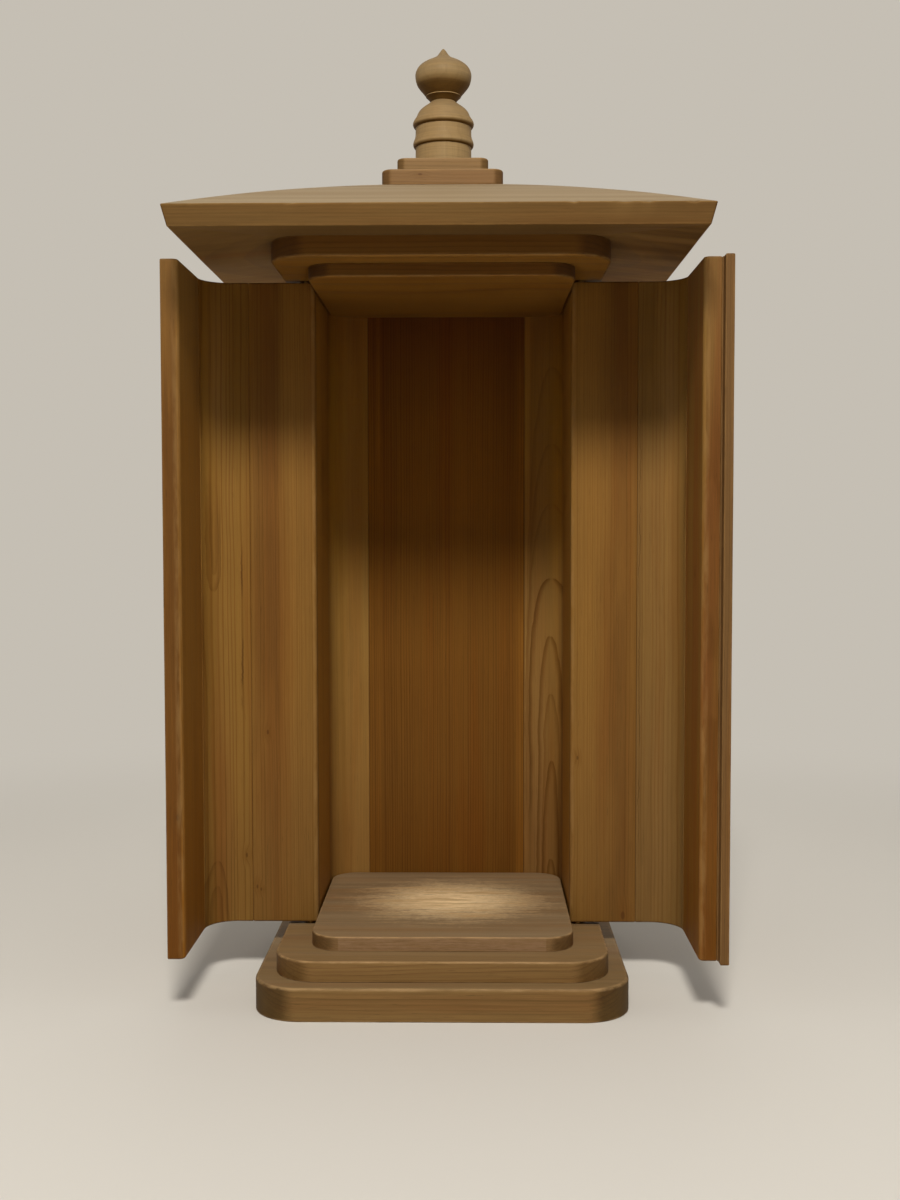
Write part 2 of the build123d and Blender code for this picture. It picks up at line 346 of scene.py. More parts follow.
def cypressWood(name, changes):
    plan = {**cypress, **changes}
    bench = Bench(bpy.data.materials.new(name))
    calc, fade, mix, centred = bench.calc, bench.fade, bench.mix, bench.centred
    times, plus, minus = bench.times, bench.plus, bench.minus
    seeds = [plan["seed"] * 13.7]
    coords = bench.add("TexCoord")
    place = bench.scale(coords.outputs["Object"], 1000.0)
    axes = bench.add("SeparateXYZ", {0: place}).outputs
    order = {"X": (1, 2, 0), "Y": (2, 0, 1), "Z": (0, 1, 2)}[plan["grain"]]
    side, deep, along = (axes[i] for i in order)
    wood = bench.add("CombineXYZ", {0: side, 1: deep, 2: along}).outputs[0]

    def stretched(across, lengthwise):
        seeds[0] += 4.3
        shift = (seeds[0], seeds[0] * 0.37, seeds[0] * 0.71)
        return bench.vector("MULTIPLY_ADD", wood, (across, across, lengthwise), shift)

    def streaks(across, lengthwise, detail=2.0, roughness=0.55):
        return bench.noise(stretched(across, lengthwise), detail, roughness).outputs["Fac"]

    # knots push the rings aside and sit in a darker halo
    halo = None
    cores = []
    for centre, size in plan["knots"]:
        long = [2.2 if axis == plan["grain"] else 1.0 for axis in "XYZ"]
        away = bench.vector("SUBTRACT", place, centre)
        near = bench.length(bench.vector("DIVIDE", away, tuple(size * k for k in long)))
        cores.append(fade(near, 1.0, 0.5))
        around = fade(near, 5.0, 0.6)
        halo = around if halo is None else calc("MAXIMUM", halo, around)

    # distance from the pith line, wavering a little
    lean = bench.scale((plan["tilt"][0], plan["tilt"][1], 0.0), along)
    middleGrey = (0.5, 0.5, 0.5)
    waver = bench.noise(stretched(0.022, 0.006), 2.0).outputs["Color"]
    waver = bench.scale(bench.vector("SUBTRACT", waver, middleGrey), plan["waver"] * 6)
    shaken = bench.noise(stretched(0.16, 0.02), 1.0).outputs["Color"]
    shaken = bench.scale(bench.vector("SUBTRACT", shaken, middleGrey), plan["waver"] * 0.5)
    fromPith = bench.vector("SUBTRACT", wood, (*plan["pith"], 0.0))
    fromPith = bench.vector("SUBTRACT", fromPith, lean)
    fromPith = bench.vector("ADD", bench.vector("ADD", fromPith, waver), shaken)
    radius = bench.length(bench.vector("MULTIPLY", fromPith, (1.0, 1.0, 0.0)))
    drift = bench.add("TexNoise", {"W": times(radius, 0.11), "Scale": 1.0}, noise_dimensions="1D")
    phase = calc("MULTIPLY_ADD", drift.outputs["Fac"], 2.4, calc("DIVIDE", radius, plan["ring"]))
    if halo is not None:
        phase = calc("MULTIPLY_ADD", halo, 0.8, phase)
    inRing = calc("FRACT", phase)
    perRing = bench.add("TexWhiteNoise", {"W": calc("FLOOR", phase)}, noise_dimensions="1D").outputs["Value"]
    late = times(fade(inRing, plan["lateFrom"], 0.9), fade(inRing, 1.0, 0.94))
    late = times(late, calc("MULTIPLY_ADD", perRing, 0.75, 0.25))

    # streaks from fine fibres to slow tone changes
    fine = streaks(1.9, 0.035, 3.0, 0.6)
    middle = streaks(0.42, 0.006, 2.0)
    broad = streaks(0.11, 0.0025, 2.0)
    clouds = streaks(0.035, 0.010, 3.0)
    flecks = fade(streaks(2.6, 0.10, 1.0), 0.66, 0.80)

    tone = plus(centred(middle, plan["streak"] * 2.0), 1.0)
    tone = plus(centred(broad, plan["streak"] * 2.0), tone)
    tone = plus(centred(clouds, plan["blotch"] * 2.0), tone)
    tone = plus(centred(fine, plan["fibre"] * 2.0), tone)
    tone = calc("MULTIPLY_ADD", flecks, -plan["fibre"] * 1.2, tone)
    blushShare = fade(streaks(0.06, 0.0035, 3.0), plan["blushFrom"], plan["blushFrom"] + 0.24)
    if plan["comb"]:
        tone = plus(centred(streaks(0.2, 0.004, 4.0, 0.65), plan["comb"] * 2.0), tone)
    if plan["bandsAndPaintedLight"]:
        wandering = plus(centred(broad, 2.5), axes[plan["bandAxis"]])
        band = toneRamp(bench, plan["bandsAndPaintedLight"], wandering)
        patchy = fade(streaks(0.05, 0.008, 3.0), 0.32, 0.66, 0.15, 1.25)
        band = calc("MULTIPLY_ADD", minus(band, 1.0), patchy, 1.0)
        tone = times(tone, band)
        blushShare = plus(blushShare, times(minus(1.0, band), 2.5))

    body = mix(blushShare, plan["early"], plan["blush"])
    body = mix(times(late, plan["lateShare"]), body, plan["late"])
    body = bench.scale(body, tone)
    # painted light and shade that change with height
    if plan["paintedLightByHeight"]:
        body = bench.vector("MULTIPLY", body, toneRamp(bench, plan["paintedLightByHeight"], axes[2]))
    for spot, start, end, width in plan["veins"]:
        wander = plus(centred(streaks(0.0, 0.06, 4.0, 0.7), 4.0), spot)
        off = calc("ABSOLUTE", minus(side, wander))
        broken = fade(streaks(0.0, 0.05, 2.0), 0.35, 0.6, 0.1, 1.0)
        line = times(fade(off, width, width * 0.3), broken)
        reach = times(fade(along, start, start + 25), fade(along, end, end - 25))
        body = mix(times(times(line, reach), 0.6), body, plan["knot"])
    if halo is not None:
        body = mix(times(halo, 0.3), body, plan["late"])
        for core in cores:
            body = mix(times(core, 0.55), body, plan["knot"])

    # end grain drinks the finish and turns olive
    grainWay = tuple(1.0 if axis == plan["grain"] else 0.0 for axis in "XYZ")
    facing = bench.add("VectorMath", {0: coords.outputs["Normal"], 1: grainWay}, operation="DOT_PRODUCT")
    endShare = fade(calc("ABSOLUTE", facing.outputs["Value"]), 0.06, 0.42)
    body = mix(endShare, body, mix(1.0, body, plan["endGrain"], "MULTIPLY"))

    # a pale bloom on what looks up: dust, with a painted sheen where tops catch the light; on the finial a
    # darker tone that is painted shade
    upward = bench.add("SeparateXYZ", {0: coords.outputs["Normal"]}).outputs["Z"]
    dustAndPaintedLightMask = times(fade(upward, plan["dustAndPaintedLightFrom"], 0.92), fade(broad, 0.2, 0.8, 0.6, 1.2))
    body = mix(times(dustAndPaintedLightMask, plan["dustAndPaintedLightShare"]), body, plan["dustAndPaintedLight"])
    # painted light and shade: faces that look down get a tone of their own, painted brighter under the
    # ceiling and moulding and darker under the finial
    if plan["under"] != (1.0, 1.0, 1.0):
        shaded = bench.vector("MULTIPLY", body, plan["under"])
        body = mix(fade(upward, -0.12, -0.75), body, shaded)

    if plan["extra"]:
        body = plan["extra"](bench, body, place, axes, middle)

    # paler arrises: partly wear, partly a painted highlight where the light catches them
    wear = bench.add("Attribute", attribute_name="wear").outputs["Fac"]
    rubbed = fade(streaks(0.25, 0.05, 3.0, 0.7), 0.32, 0.68, 0.05, 1.0)
    wornAndHighlight = times(calc("MAXIMUM", wear, 0.0), rubbed)
    body = mix(times(wornAndHighlight, plan["wornAndHighlightShare"]), body, plan["wornAndHighlight"])
    seam = times(calc("MAXIMUM", times(wear, -1.0), 0.0), plan["seam"])
    body = mix(seam, body, plan["knot"])

    rough = plus(centred(fine, 0.22), plan["roughness"])
    rough = calc("MULTIPLY_ADD", late, -0.05, rough)
    rough = calc("MULTIPLY_ADD", endShare, 0.08, rough)
    height = calc("MULTIPLY_ADD", late, 0.5, times(fine, 0.9))
    height = calc("MULTIPLY_ADD", flecks, -0.5, height)
    height = calc("MULTIPLY_ADD", middle, 0.6, height)
    bump = bench.add("Bump", {"Strength": plan["relief"], "Distance": 0.00018, "Height": height})
    shader = bench.shader
    bench.feed(shader.inputs["Base Color"], body)
    bench.feed(shader.inputs["Roughness"], rough)
    bench.feed(shader.inputs["Normal"], bump.outputs["Normal"])
    shader.inputs["Specular IOR Level"].default_value = plan["gloss"]
    return bench.material


# boards laid flat: plinth, step, floor, ceiling, moulding and the plates that carry the finial

sideStep = 2.2  # spacing of the points along a laid board's sides
leastTurn = 8  # steps round a small corner
leastCorner = 0.04  # corner radius close to the middle, as a share of the half width there

patchPlan = {
    "middle": (4.0, 4.0),
    "half": (66.0, 56.0),  # half its width and depth
    "core": 0.15,  # share of that where it is palest
    "raggedness": 1.6,
    "top": (36.0, 36.15),  # heights between which a point counts as on the board
    "pale": (0.52, 0.34, 0.16),
    "palest": (0.98, 0.75, 0.44),
    "rubbedTone": (0.25, 0.150, 0.078),
    "rubbedFront": (-69.2, -70.2),  # depth from which the front edge is rubbed
    "rubbedHalf": (55.4, 54.9),  # and half its length, between the round corners
}


def wornPatch(bench, body, place, axes, middle):
    # where something stood on the floor board for years and kept the wood pale
    calc, fade, plan = bench.calc, bench.fade, patchPlan
    times, plus, minus = bench.times, bench.plus, bench.minus
    x, y, z = axes
    across = calc("DIVIDE", minus(x, plan["middle"][0]), plan["half"][0])
    deep = calc("DIVIDE", minus(y, plan["middle"][1]), plan["half"][1])
    away = calc("SQRT", plus(times(across, across), times(deep, deep)))
    drawn = bench.pattern(place, (0.03, 0.24, 0.24), 5.0, 0.7)
    speckle = bench.pattern(place, (0.3, 0.9, 0.9), 4.0, 0.75)
    ragged = plus(bench.centred(drawn, 1.0), bench.centred(speckle, 0.5))
    away = calc("MULTIPLY_ADD", ragged, plan["raggedness"], away)
    share = times(fade(away, 1.0, plan["core"]), fade(z, *plan["top"]))
    pale = bench.mix(fade(drawn, 0.35, 0.62), plan["pale"], plan["palest"])
    body = bench.mix(share, body, pale)
    # the front edge is rubbed pale as well
    front = times(fade(y, *plan["rubbedFront"]), fade(calc("ABSOLUTE", x), *plan["rubbedHalf"]))
    combed = bench.pattern(place, (0.10, 1.0, 1.3), 4.0, 0.75)
    combed = plus(combed, times(speckle, 0.4))
    rubbed = times(front, fade(combed, 0.5, 0.9, 0.2, 0.95))
    return bench.mix(rubbed, body, plan["rubbedTone"])


boardPlan = {
    # the laid boards' arrises are painted paler still: painted highlights along their edges
    "plinthBoard": dict(
        node="plinth_board", slot="base_wood", corner=25, easeAbove=1.3, easeBelow=0.8, spacing=7,
        seed=1, grain="X", pith=(-40, -80), ring=2.2, early=(0.18, 0.103, 0.034), late=(0.11, 0.056, 0.015),
        blush=(0.17, 0.085, 0.026), wornAndHighlight=(0.38, 0.24, 0.11), wornAndHighlightShare=0.65, comb=0.2, fibre=0.3,
        endGrain=(0.42, 0.4, 0.3),
    ),
    "stepBoard": dict(
        node="step_board", slot="base_wood", corner=23, easeAbove=0.9, easeBelow=0.5, spacing=6,
        seed=2, grain="X", pith=(-50, -30), ring=2.2, tilt=(0.02, 0.03), early=(0.2, 0.113, 0.038),
        late=(0.125, 0.06, 0.017), blush=(0.19, 0.095, 0.03), wornAndHighlight=(0.4, 0.25, 0.115), wornAndHighlightShare=0.75,
        comb=0.2, fibre=0.3,
    ),
    "floorBoard": dict(
        node="floor_board", slot="floor_wood", corner=15.4, easeAbove=0.7, easeBelow=0.4, spacing=6,
        extra=wornPatch, seed=3, grain="X", pith=(60, -70), ring=2.0, early=(0.2, 0.115, 0.046),
        late=(0.13, 0.066, 0.024), wornAndHighlight=(0.4, 0.25, 0.115), wornAndHighlightShare=0.75, dustAndPaintedLightShare=0.35, comb=0.35,
        fibre=0.35, relief=0.7,
    ),
    # the ceiling and moulding are painted brighter where they look down: painted light
    "ceilingBoard": dict(
        node="ceiling_board", slot="floor_wood", corner=15.4, easeAbove=0.4, easeBelow=1.0, spacing=7,
        seed=4, grain="X", pith=(20, 900), ring=2.4, waver=0.8, early=(0.13, 0.056, 0.0068),
        late=(0.083, 0.031, 0.0037), blush=(0.122, 0.048, 0.0055), under=(1.82, 1.95, 2.4),
    ),
    "mouldingBoard": dict(
        node="moulding_board", slot="base_wood", corner=23, easeAbove=0.5, easeBelow=1.2, spacing=7,
        seed=5, grain="X", pith=(20, 960), ring=2.2, waver=0.8, early=(0.149, 0.063, 0.009),
        late=(0.092, 0.035, 0.0045), blush=(0.138, 0.054, 0.007), under=(1.66, 1.83, 2.1),
    ),
    "lowerPlate": dict(
        node="roof_plate_lower", slot="roof_wood", corner=6, easeAbove=1.1, easeBelow=0.4, spacing=5,
        seed=6, grain="X", pith=(-60, 700), ring=1.8, early=(0.207, 0.115, 0.044), late=(0.14, 0.07, 0.023),
        blush=(0.21, 0.11, 0.043), dustAndPaintedLightShare=0.4, knots=[((-12, -33, 444), 0.7)],
    ),
    "upperPlate": dict(
        node="roof_plate_upper", slot="roof_wood", corner=5, easeAbove=1.0, easeBelow=0.4, spacing=5,
        seed=7, grain="X", pith=(-80, 720), ring=1.8, early=(0.222, 0.131, 0.051),
        late=(0.155, 0.084, 0.029), blush=(0.23, 0.13, 0.05), dustAndPaintedLightShare=0.4,
    ),
}


def layBoard(name, plan):
    low, high = boxMm(plan["node"])
    half = (high.x - low.x) / 2
    outline = easedOutline(
        [
            (centreFlat, low.z, 0),
            (half, low.z, plan["easeBelow"]),
            (half, high.z, plan["easeAbove"]),
            (centreFlat, high.z, 0),
        ]
    )
    outline = divided(outline, spanCounts(outline, plan["spacing"]))
    perCorner = max(leastTurn, round(plan["corner"]))
    perSide = round(2 * (half - plan["corner"]) / sideStep)
    rings = []
    for across, up, wear in outline:
        corner = max(plan["corner"] - (half - across), leastCorner * across)
        rings.append(squareRing(across, corner, up, wear, perSide, perCorner))
    wood = cypressWood(name + "Wood", plan)
    dress(skinRings(name, rings), cabinet, plan["slot"], wood, plan["node"])


for name, plan in boardPlan.items():
    layBoard(name, plan)
report("boards laid")


# upright boards: walls, doors and the meeting strip, each a plan drawn up to its height

wall = 9.0  # thickness of walls and doors
cove = 16.5  # inner radius of the coved corners
insideHalf = 71.5
outsideHalf = insideHalf + wall
backHalf = 48.4  # half the width of the back board
backFlatEnd = 51.0
shellFront = -9.0
doorIn, doorOut = -19.5, -10.5  # the faces of an open door's side board
hingeX, jointX = 71.1, 108.0
faceIn, faceOut = 132.5, 141.5  # the faces of its front board
turnY = -36.0  # where the cove ends and the front board starts
freeY = -90.6
stripLap, stripSeat, stripTop = -98.0, -81.6, 146.7
stripGap = 0.5  # how far the lap of the strip stands off

# each shape seen from above, as corners (x, y, radius) of the right hand side, in order with the
# body to the left
shapes = {
    "backWall": [
        (-backHalf, insideHalf, glue), (backHalf, insideHalf, glue),
        (backHalf, outsideHalf, glue), (-backHalf, outsideHalf, glue),
    ],
    "backCorner": [
        (backHalf, insideHalf, glue), (insideHalf, insideHalf, cove),
        (insideHalf, backFlatEnd, glue), (outsideHalf, backFlatEnd, glue),
        (outsideHalf, outsideHalf, cove + wall), (backHalf, outsideHalf, glue),
    ],
    "sideWall": [
        (insideHalf, backFlatEnd, glue), (insideHalf, shellFront, 0.9),
        (outsideHalf, shellFront, 0.9), (outsideHalf, backFlatEnd, glue),
    ],
    "doorSide": [
        (jointX, doorOut, glue), (hingeX, doorOut, 2.1), (hingeX, doorIn, 2.1),
        (jointX, doorIn, glue),
    ],
    "doorCorner": [
        (jointX, doorOut, glue), (jointX, doorIn, glue), (faceIn, doorIn, cove),
        (faceIn, turnY, glue), (faceOut, turnY, glue),
        (faceOut, doorOut, cove + wall),
    ],
    "doorFront": [
        (faceIn, turnY, glue), (faceIn, freeY, 3.2), (faceOut, freeY, 0.5),
        (faceOut, turnY, glue),
    ],
    "meetingStrip": [
        (faceOut, stripSeat, 0.3), (faceOut, freeY, 0.3),
        (faceOut + stripGap, freeY, 0), (faceOut + stripGap, stripLap, 0.4),
        (stripTop, stripLap, 0.9), (stripTop, stripSeat, 0.9),
    ],
}

# (height, red, green, blue): painted light and shade by height: the foot of a board is painted darker, the
# tops of the door boards darker and redder where the roof's shade falls, and the back and its corners
# brighter in the middle, where the light reaches in
doorPaintedLight = [
    (25, 0.84, 0.84, 0.88), (60, 0.87, 0.87, 0.95), (135, 0.97, 0.97, 1.02), (170, 1.0, 1.0, 1.0),
    (300, 1.03, 1.02, 1.0), (322, 0.97, 0.93, 0.8), (345, 0.93, 0.85, 0.6), (388, 0.9, 0.8, 0.52),
]
edgePaintedLight = [
    (30, 0.94, 0.8, 0.38), (80, 0.96, 0.86, 0.57), (170, 1, 1, 1), (300, 1, 1, 1), (380, 1.04, 1.2, 1.7),
]
cornerPaintedLight = [
    (60, 0.86, 0.82, 1.0), (110, 0.97, 0.95, 1.12), (180, 1.03, 1.04, 1.2), (212, 1.12, 1.13, 1.25),
    (245, 1.1, 1.03, 0.82), (268, 1.09, 0.95, 0.58), (320, 1.01, 0.9, 0.5), (350, 0.95, 0.81, 0.46),
    (380, 0.82, 0.62, 0.35),
]
backPaintedLight = [
    (60, 0.89, 0.86, 0.82), (100, 0.96, 0.98, 1.06), (150, 1.02, 1.02, 1.02), (195, 1.09, 1.1, 1.06),
    (235, 1.2, 1.15, 0.85), (270, 1.38, 1.25, 0.67), (310, 1.24, 1.11, 0.62), (345, 0.98, 0.82, 0.47),
    (382, 0.72, 0.5, 0.42),
]

backBands = [
    (-48.4, 1.5), (-47.4, 1.4), (-46.7, 1.1), (-45.2, 1.16), (-44.0, 1.04), (-43.0, 1.28), (-41.2, 1.24),
    (-40.4, 0.97), (0, 1.0), (8, 1.06), (22, 1.07), (30, 1.0), (41, 0.94), (43.2, 1.0), (44.4, 1.26),
    (46.8, 1.34), (48.4, 1.5),
]

archPlan = {
    "sway": 3.6,  # how far the lines wander
    "inner": 6,  # how softly a line starts inside its arch, in line widths
    "outer": 0.6,  # and how sharply it ends outside
    "tone": (0.52, 0.40, 0.22),
}


def archedGrain(loops, plan=archPlan):
    # tall arches where the saw ran through the side of the rings, each given as middle, top, half width,
    # opening (its height until it runs straight, negative where it hangs), line width and depth of tone
    def draw(bench, body, place, axes, middle):
        calc, fade = bench.calc, bench.fade
        times, plus, minus = bench.times, bench.plus, bench.minus
        sway = bench.pattern(place, (0.05, 0.05, 0.03), 4.0, 0.6)
        x = plus(bench.centred(sway, plan["sway"]), axes[0])
        z = axes[2]
        for centre, top, half, opening, width, depth in loops:
            below = minus(top, z) if opening > 0 else minus(z, top)
            below = calc("MAXIMUM", below, 0.0)
            opened = calc("EXPONENT", calc("DIVIDE", below, -abs(opening)))
            spread = times(calc("SQRT", minus(1.0, opened)), half)
            off = minus(calc("ABSOLUTE", minus(x, centre)), spread)
            inner, outer = -width * plan["inner"], width * plan["outer"]
            line = times(fade(off, inner, 0.0), fade(off, outer, 0.0))
            shown = times(fade(below, 0.0, 1.5), fade(below, abs(opening) * 9, abs(opening) * 4))
            shown = times(times(line, shown), depth)
            body = bench.mix(shown, body, bench.vector("MULTIPLY", body, plan["tone"]))
        return body

    return draw


leftArches = [
    (-127.6, 66, 6.5, 18, 0.4, 0.5),
    (-127.6, 52, 3.6, 14, 0.4, 0.4),
    (-127.8, 217, 3.4, -8, 0.4, 0.5),
    (-127.8, 226, 1.8, -8, 0.4, 0.35),
]
rightArches = [
    (65.3, 352, 16.0, 70, 0.5, 0.35),
    (65.3, 305, 14.6, 45, 0.5, 0.35),
    (65.3, 268, 16.6, 50, 0.4, 0.35),
    (65.3, 222, 13.6, 25, 0.6, 0.9),
    (65.0, 186, 8.2, 40, 0.5, 0.8),
    (65.5, 150, 5.6, 30, 0.4, 0.5),
    (65.5, 108, 5.2, 30, 0.5, 0.75),
    (65.8, 46, 4.5, 25, 0.5, 0.7),
]

# tone of the painted shade on a door's free edge
freeEdgeShadeTone = (0.52, 0.46, 0.42)


def shadedFreeEdge(strength):
    # painted shade: the free edge of a door is painted darker and redder, less so at its top
    def shade(bench, body, place, axes, middle):
        freeEdgeShade = bench.fade(axes[1], freeY + 1.2, freeY + 0.3, 0.0, strength)
        freeEdgeShade = bench.times(freeEdgeShade, bench.fade(axes[2], 355, 300, 0.55, 1.0))
        freeEdgeShade = bench.times(freeEdgeShade, bench.fade(middle, 0.3, 0.6, 0.75, 1.1))
        return bench.mix(freeEdgeShade, body, bench.vector("MULTIPLY", body, freeEdgeShadeTone))

    return shade


# what the boards of one body share
bodyWalls = dict(body=cabinet, ease=0.4, spacing=9)
leftDoor = dict(hand=-1, body="left_door", ease=0.9, spacing=7)
rightDoor = dict(hand=1, body="right_door", ease=0.9, spacing=7)
uprightPlan = {
    "backWall": dict(
        bodyWalls, shape="backWall", hand=1, node="back_wall", slot="back_wood", seed=11, pith=(-900, 75),
        ring=1.55, early=(0.158, 0.066, 0.009), late=(0.08, 0.027, 0.0035), blush=(0.155, 0.057, 0.0065),
        lateShare=0.55, lateFrom=0.35, waver=0.4, gloss=0.08, streak=0.07, paintedLightByHeight=backPaintedLight,
        bandsAndPaintedLight=backBands,
    ),
    "backCornerLeft": dict(
        bodyWalls, shape="backCorner", hand=-1, node="back_corner_left", slot="corner_wood", seed=12,
        pith=(-190, 60), ring=2.6, blotch=0.22, early=(0.285, 0.155, 0.031), late=(0.2, 0.095, 0.016),
        blush=(0.265, 0.13, 0.023), waver=0.5, lateShare=0.35, paintedLightByHeight=cornerPaintedLight,
    ),
    "backCornerRight": dict(
        bodyWalls, shape="backCorner", hand=1, node="back_corner_right", slot="corner_wood",
        extra=archedGrain(rightArches), seed=13, pith=(-150, 62), ring=1.9, early=(0.245, 0.13, 0.028),
        late=(0.15, 0.07, 0.013), blush=(0.235, 0.112, 0.021), waver=0.35, lateShare=0.25,
        paintedLightByHeight=cornerPaintedLight,
        # painted light: the right back corner is painted brighter at both ends of its cove, against the
        # shading there
        bandsAndPaintedLight=[
            (48.4, 1.2), (49.2, 1.35), (51.0, 1.25), (53.0, 0.96), (60, 0.95), (65, 1.02), (68, 1.22),
            (82, 1.2),
        ],
    ),
    # the side walls are paler than the doors: partly their own wood, partly painted light for the grazing
    # light that they catch
    "sideWallLeft": dict(
        bodyWalls, shape="sideWall", hand=-1, node="side_wall_left", slot="wall_wood", seed=14,
        pith=(-76, 640), ring=1.6, early=(0.31, 0.145, 0.021), late=(0.19, 0.078, 0.01), waver=0.5,
        blush=(0.27, 0.115, 0.016),
    ),
    "sideWallRight": dict(
        bodyWalls, shape="sideWall", hand=1, node="side_wall_right", slot="wall_wood", seed=15,
        pith=(76, 660), ring=1.6, early=(0.33, 0.16, 0.027), late=(0.2, 0.085, 0.012), waver=0.5,
        blush=(0.3, 0.135, 0.02),
    ),
    "leftDoorSide": dict(
        leftDoor, shape="doorSide", node="left_door_side", slot="door_wood", seed=16, pith=(-700, -40),
        ring=1.7, waver=0.6, lateShare=0.5, seam=0.12,
        bandsAndPaintedLight=[(-108, 1.0), (-104, 0.86), (-94, 0.81), (-89, 1.0), (-84, 1.04), (-73, 1.0), (-71, 0.93)],
        knots=[((-99, -19.5, 138), 0.8), ((-105.6, -19.5, 50), 0.7), ((-103.4, -19.5, 48.5), 0.6)],
        paintedLightByHeight=doorPaintedLight,
    ),
    "leftDoorCorner": dict(
        leftDoor, shape="doorCorner", node="left_door_corner", slot="door_corner_wood",
        extra=archedGrain(leftArches), seed=17, pith=(-340, -5), ring=2.6, waver=0.9,
        early=(0.222, 0.114, 0.0215), lateShare=0.8, lateFrom=0.6,
        bandsAndPaintedLight=[(-142, 0.98), (-126, 1.0), (-118, 1.03), (-111, 1.05), (-108, 1.0)],
        veins=[(-113.0, 140, 250, 0.75)], knots=[((-111.4, -19.5, 68), 0.8)], seam=0.12, paintedLightByHeight=doorPaintedLight,
    ),
    "leftDoorFront": dict(
        leftDoor, shape="doorFront", node="left_door_front", slot="door_wood", spacing=3,
        extra=shadedFreeEdge(1.1), seed=18, pith=(-137, -700), ring=1.7, waver=0.6,
        early=(0.243, 0.111, 0.0185), seam=0.75, fibre=0.32, knots=[((-135.4, -90.6, 104), 1.0)],
        paintedLightByHeight=edgePaintedLight,
    ),
    "rightDoorSide": dict(
        rightDoor, shape="doorSide", node="right_door_side", slot="door_wood", seed=19, pith=(700, -60),
        ring=1.7, waver=0.6, lateShare=0.45, seam=0.3,
        bandsAndPaintedLight=[(71, 1.0), (82, 1.05), (88, 0.93), (96, 0.8), (101, 0.84), (105, 0.96), (108, 0.94)],
        knots=[((101, -19.5, 34), 1.4), ((75.2, -19.5, 123.6), 0.7)], paintedLightByHeight=doorPaintedLight,
    ),
    "rightDoorCorner": dict(
        rightDoor, shape="doorCorner", node="right_door_corner", slot="door_corner_wood", seed=20,
        pith=(520, 40), ring=2.2, waver=0.6, early=(0.21, 0.115, 0.03), blush=(0.197, 0.097, 0.023),
        seam=0.3, veins=[(109.6, 60, 330, 0.3)], paintedLightByHeight=doorPaintedLight,
        bandsAndPaintedLight=[(108, 0.95), (110, 0.88), (112, 1.0), (128, 1.02), (142, 1.0)],
    ),
    "rightDoorFront": dict(
        rightDoor, shape="doorFront", node="right_door_front", slot="door_wood", spacing=3,
        extra=shadedFreeEdge(0.55), seed=21, pith=(137, -720), ring=1.7, waver=0.6,
        early=(0.225, 0.114, 0.022), blush=(0.215, 0.083, 0.016), blushFrom=0.36, fibre=0.36,
        knots=[((132.5, -68, 228), 0.9)], paintedLightByHeight=edgePaintedLight,
    ),
    "meetingStrip": dict(
        rightDoor, shape="meetingStrip", node="right_door_meeting_strip", slot="strip_wood", ease=0.8,
        spacing=3, seed=22, pith=(640, -90), ring=1.5, waver=0.5, early=(0.138, 0.07, 0.022),
        late=(0.083, 0.041, 0.011), blush=(0.155, 0.068, 0.016), seam=0.2,
    ),
}

endSteps = 4  # steps round the eased ends of an upright
acrossStep = 2.6  # longest step round its shape
wornFrom = 0.1  # wear on an end that covers the wear of the shape's own arrises


def raiseBoard(name, plan):
    hand, ease = plan["hand"], plan["ease"]
    low, high = boxMm(plan["node"])
    tall = high.z - low.z
    corners = shapes[plan["shape"]]
    counts = spanCounts(easedOutline(corners, closed=True), acrossStep, closed=True)
    margin = ease + arrisPlan["guard"]
    ends = [(0.0, margin, 0.0)]
    for step in range(endSteps + 1):
        angle = math.radians(90 * step / endSteps)
        ends.append((ease * (1 - math.cos(angle)), ease * (1 - math.sin(angle)), math.sin(2 * angle)))
    ends.append((margin, 0.0, 0.0))
    plain = tall - 2 * margin  # between the eased ends
    count = math.ceil(plain / plan["spacing"])
    middle = [(margin + plain * step / count, 0.0, 0.0) for step in range(1, count)]
    upper = [(tall - up, depth, wear) for up, depth, wear in reversed(ends)]
    rings = []
    for up, depth, wornAndHighlight in ends + middle + upper:
        ring = []
        for x, y, wear in divided(easedOutline(corners, closed=True, depth=depth), counts, closed=True):
            ring.append((x * hand, y, low.z + up, max(wear, wornAndHighlight) if wornAndHighlight > wornFrom else wear))
        rings.append(ring if hand > 0 else ring[::-1])
    wood = cypressWood(name + "Wood", plan)
    dress(skinRings(name, rings), plan["body"], plan["slot"], wood, plan["node"])


for name, plan in uprightPlan.items():
    raiseBoard(name, plan)
report("walls and doors raised")


# roof: square rings from the soffit round the eave and up the swelling slopes

roofPlan = {
    "soffitIn": 88.3,
    "soffitFlat": 4,  # how much further in the flat over the soffit starts
    "eaveHalf": 132.0,
    "lean": 2.6,
    "eaveBottom": 396.0,
    "eaveTop": 406.2,
    "soffitTop": 400.4,
    "ridgeHalf": 33.0,
    "ridgeTop": 438.5,
    "swell": 1.6,
    "slopeSteps": 14,
    "spacing": 9.0,
    "perSide": 110,
    "arris": 0.6,
    "hip": 0.8,  # radius of the hips
    "leastHip": 0.2,  # the same close to the middle, as a share of the half width there
    "hipSteps": 4,
    "uneven": 0.12,
}

soffitPlan = {
    "edge": (129.7, 129.0),  # the underside starts this far out
    "beside": (55.0, 105.0),  # from where to where it grows paler sideways
    "backward": (-115.0, 10.0, 0.22, 1.15),  # and towards the back, with the share at each place
    "tint": (1.0, 1.02, 0.95),
}


